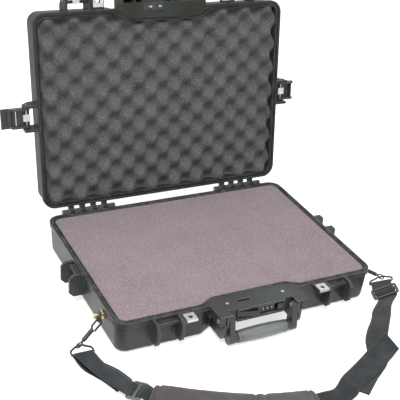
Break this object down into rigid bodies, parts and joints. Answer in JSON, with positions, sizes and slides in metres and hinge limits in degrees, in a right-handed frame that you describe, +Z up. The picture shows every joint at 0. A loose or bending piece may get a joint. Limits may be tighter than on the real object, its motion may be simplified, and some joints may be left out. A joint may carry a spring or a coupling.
{
  "type": "laptop hard case",
  "caption": "Ribbed plastic hard case with hinged lid, folding draw latches, swinging handle, dial lock, foam lining and a padded shoulder strap.",
  "frame": {"origin": "centre of the base's underside, where the closed case rests on its feet", "axes": "+X along the wide side, -Y towards the handle, +Z up out of the base"},
  "size_m": [0.6446, 0.724, 0.4969],
  "materials": {
    "shell": "fine moulded texture",
    "latch": "fine moulded texture",
    "base_foam": "flat closed-cell foam",
    "lid_foam": "convoluted open-cell foam",
    "gasket": "soft seal",
    "steel": "bright stamped steel",
    "pin": "drawn steel pin",
    "brass": "aged brass",
    "black_metal": "black plated wire",
    "grip": "satin moulded grip",
    "dial": "plain dial",
    "webbing": "woven webbing",
    "pad": "woven padded cover",
    "slide": "moulded slide"
  },
  "bodies": {
    "base": {"base_shell": "shell", "base_foam_pad": "base_foam", "base_foam_block": "base_foam", "hinge_pins": "pin", "base_padlock_plates": "steel", "deck_screws": "pin", "lock_housing": "shell", "lock_spindle": "pin", "handle_rivets": "pin", "strap_studs": "brass", "strap_rings": "black_metal", "snap_hook_left": "black_metal", "snap_hook_right": "black_metal", "snap_swivel_left": "black_metal", "snap_swivel_right": "black_metal", "strap_loop_left": "black_metal", "strap_loop_right": "black_metal", "webbing_left": "webbing", "webbing_right": "webbing", "tri_glide_left": "slide", "tri_glide_right": "slide", "shoulder_pad": "pad"},
    "lid": {"lid_shell": "shell", "lid_foam": "lid_foam", "lid_gasket": "gasket", "lid_padlock_plates": "steel", "hasp_plate": "latch", "hasp_hooks": "steel", "latch_pivot_pins": "pin"},
    "handle": {"handle_frame": "shell", "handle_grip": "grip"},
    "lock_slide": {"lock_button": "latch", "lock_bolt": "pin"},
    "dial_left": {"lock_dial_left": "dial"},
    "dial_middle": {"lock_dial_middle": "dial"},
    "dial_right": {"lock_dial_right": "dial"},
    "gate_left": {"snap_gate_left": "black_metal"},
    "gate_right": {"snap_gate_right": "black_metal"},
    "latch_front_left": {"latch_front_left_link": "latch", "latch_front_left_lever_pin": "pin", "latch_front_left_clip": "steel"},
    "latch_front_left_lever": {"latch_front_left_lever": "latch"},
    "latch_front_right": {"latch_front_right_link": "latch", "latch_front_right_lever_pin": "pin", "latch_front_right_clip": "steel"},
    "latch_front_right_lever": {"latch_front_right_lever": "latch"},
    "latch_left": {"latch_left_link": "latch", "latch_left_lever_pin": "pin", "latch_left_clip": "steel"},
    "latch_left_lever": {"latch_left_lever": "latch"},
    "latch_right": {"latch_right_link": "latch", "latch_right_lever_pin": "pin", "latch_right_clip": "steel"},
    "latch_right_lever": {"latch_right_lever": "latch"}
  },
  "joints": [
    {"name": "lid_hinge", "type": "hinge", "parent": "base", "child": "lid", "pos_m": [0, 0.1937, 0.0634], "axis": [1, 0, 0], "range_deg": [0, 98.5]},
    {"name": "handle_swing", "type": "hinge", "parent": "base", "child": "handle", "pos_m": [0, -0.215, 0.055], "axis": [-1, 0, 0], "range_deg": [0, 90]},
    {"name": "lock_slide", "type": "slide", "parent": "base", "child": "lock_slide", "axis": [-1, 0, 0], "range_m": [0, 0.004]},
    {"name": "dial_left_turn", "type": "hinge", "parent": "base", "child": "dial_left", "pos_m": [0.0054, -0.2, 0.0532], "axis": [1, 0, 0], "continuous": true},
    {"name": "dial_middle_turn", "type": "hinge", "parent": "base", "child": "dial_middle", "pos_m": [0.0138, -0.2, 0.0532], "axis": [1, 0, 0], "continuous": true},
    {"name": "dial_right_turn", "type": "hinge", "parent": "base", "child": "dial_right", "pos_m": [0.0222, -0.2, 0.0532], "axis": [1, 0, 0], "continuous": true},
    {"name": "latch_front_left_swing", "type": "hinge", "parent": "lid", "child": "latch_front_left", "pos_m": [-0.1677, 0.26878, 0.45146], "axis": [1, 0, 0], "range_deg": [-30, 90]},
    {"name": "latch_front_left_lever_swing", "type": "hinge", "parent": "latch_front_left", "child": "latch_front_left_lever", "pos_m": [-0.1677, 0.2753, 0.47476], "axis": [1, 0, 0], "range_deg": [-118, 0]},
    {"name": "latch_front_right_swing", "type": "hinge", "parent": "lid", "child": "latch_front_right", "pos_m": [0.1677, 0.26878, 0.45146], "axis": [1, 0, 0], "range_deg": [-30, 90]},
    {"name": "latch_front_right_lever_swing", "type": "hinge", "parent": "latch_front_right", "child": "latch_front_right_lever", "pos_m": [0.1677, 0.2753, 0.47476], "axis": [1, 0, 0], "range_deg": [-118, 0]},
    {"name": "latch_left_swing", "type": "hinge", "parent": "lid", "child": "latch_left", "pos_m": [-0.271, 0.23845, 0.24852], "axis": [0, 0.1478, 0.989], "range_deg": [-30, 90]},
    {"name": "latch_left_lever_swing", "type": "hinge", "parent": "latch_left", "child": "latch_left_lever", "pos_m": [-0.295, 0.24142, 0.24807], "axis": [0, 0.1478, 0.989], "range_deg": [-118, 0]},
    {"name": "latch_right_swing", "type": "hinge", "parent": "lid", "child": "latch_right", "pos_m": [0.271, 0.23845, 0.24852], "axis": [0, -0.1478, -0.989], "range_deg": [-30, 90]},
    {"name": "latch_right_lever_swing", "type": "hinge", "parent": "latch_right", "child": "latch_right_lever", "pos_m": [0.295, 0.24142, 0.24807], "axis": [0, -0.1478, -0.989], "range_deg": [0, 118]},
    {"name": "gate_left_hinge", "type": "hinge", "parent": "base", "child": "gate_left", "pos_m": [-0.27241, -0.13583, 0.0291], "axis": [0, -0.5742, 0.8187], "range_deg": [0, 16], "stiffness_Nm_per_rad": 0.02, "springref_deg": -11.46},
    {"name": "gate_right_hinge", "type": "hinge", "parent": "base", "child": "gate_right", "pos_m": [0.2778, -0.12932, 0.03272], "axis": [0, -0.6108, 0.7918], "range_deg": [0, 16], "stiffness_Nm_per_rad": 0.02, "springref_deg": -11.46}
  ]
}
